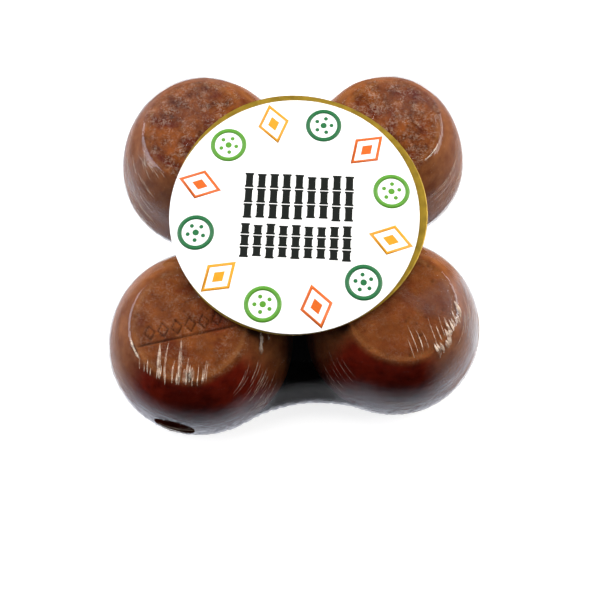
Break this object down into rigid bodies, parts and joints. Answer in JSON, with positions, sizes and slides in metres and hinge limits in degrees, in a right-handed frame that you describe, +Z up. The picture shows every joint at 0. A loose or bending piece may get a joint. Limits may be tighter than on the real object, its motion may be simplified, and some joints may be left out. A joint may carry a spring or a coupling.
{
  "type": "jaggery lump pack",
  "caption": "Bucket-shaped jaggery lumps set side by side in taut clear shrink film, with a round card label lying across their tops.",
  "frame": {"origin": "on the surface that the pack stands on, under the middle of the pack", "axes": "+Z up through the label, -Y towards the front of the pack"},
  "size_m": [0.1708, 0.172, 0.05],
  "materials": {
    "jaggery_under_film": "brown set cane syrup seen through clear glossy film",
    "gold_card": "gold printed card",
    "white_paper": "smooth matt white"
  },
  "bodies": {
    "root": {"sealed_pack": "jaggery_under_film", "label_backing": "gold_card", "label_face": "white_paper"}
  },
  "joints": []
}
